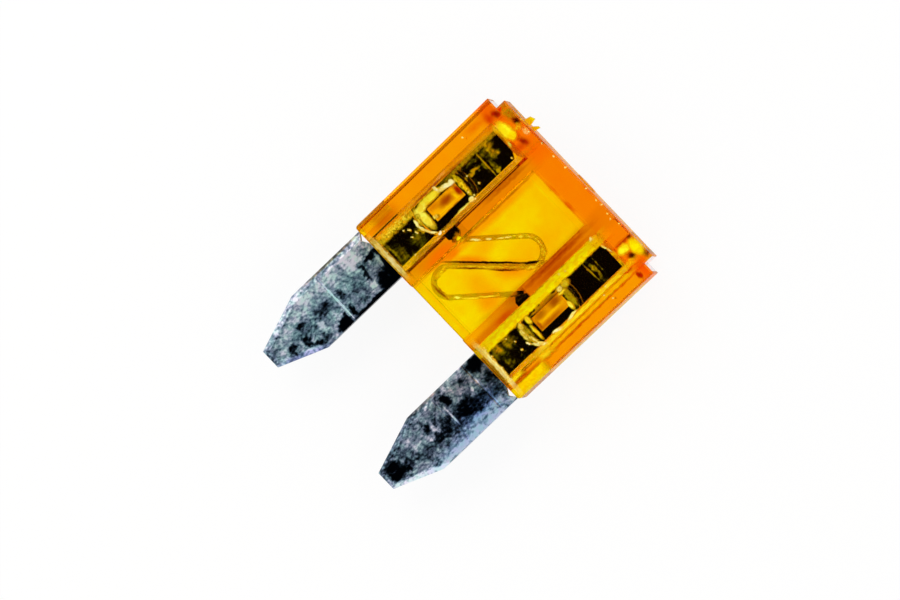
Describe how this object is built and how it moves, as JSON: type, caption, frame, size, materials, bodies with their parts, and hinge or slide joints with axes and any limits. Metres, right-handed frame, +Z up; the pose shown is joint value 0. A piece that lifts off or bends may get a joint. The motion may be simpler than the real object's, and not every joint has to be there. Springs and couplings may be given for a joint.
{
  "type": "automotive blade fuse",
  "caption": "Small translucent blade fuse: amber moulded housing with a thin window over an S-shaped link, and flat tapered plug-in blades.",
  "frame": {"origin": "on the surface the fuse lies on, under the middle of its own box", "axes": "+Y from the blades' tips towards the head, +X across the two blades, +Z up through the thickness"},
  "size_m": [0.011, 0.0164, 0.0036],
  "materials": {
    "amber_plastic": "see-through amber moulded plastic, glossy",
    "zinc_strip": "dull mottled zinc alloy, stamped"
  },
  "bodies": {
    "root": {"housing": "amber_plastic", "fuse_element": "zinc_strip"}
  },
  "joints": []
}
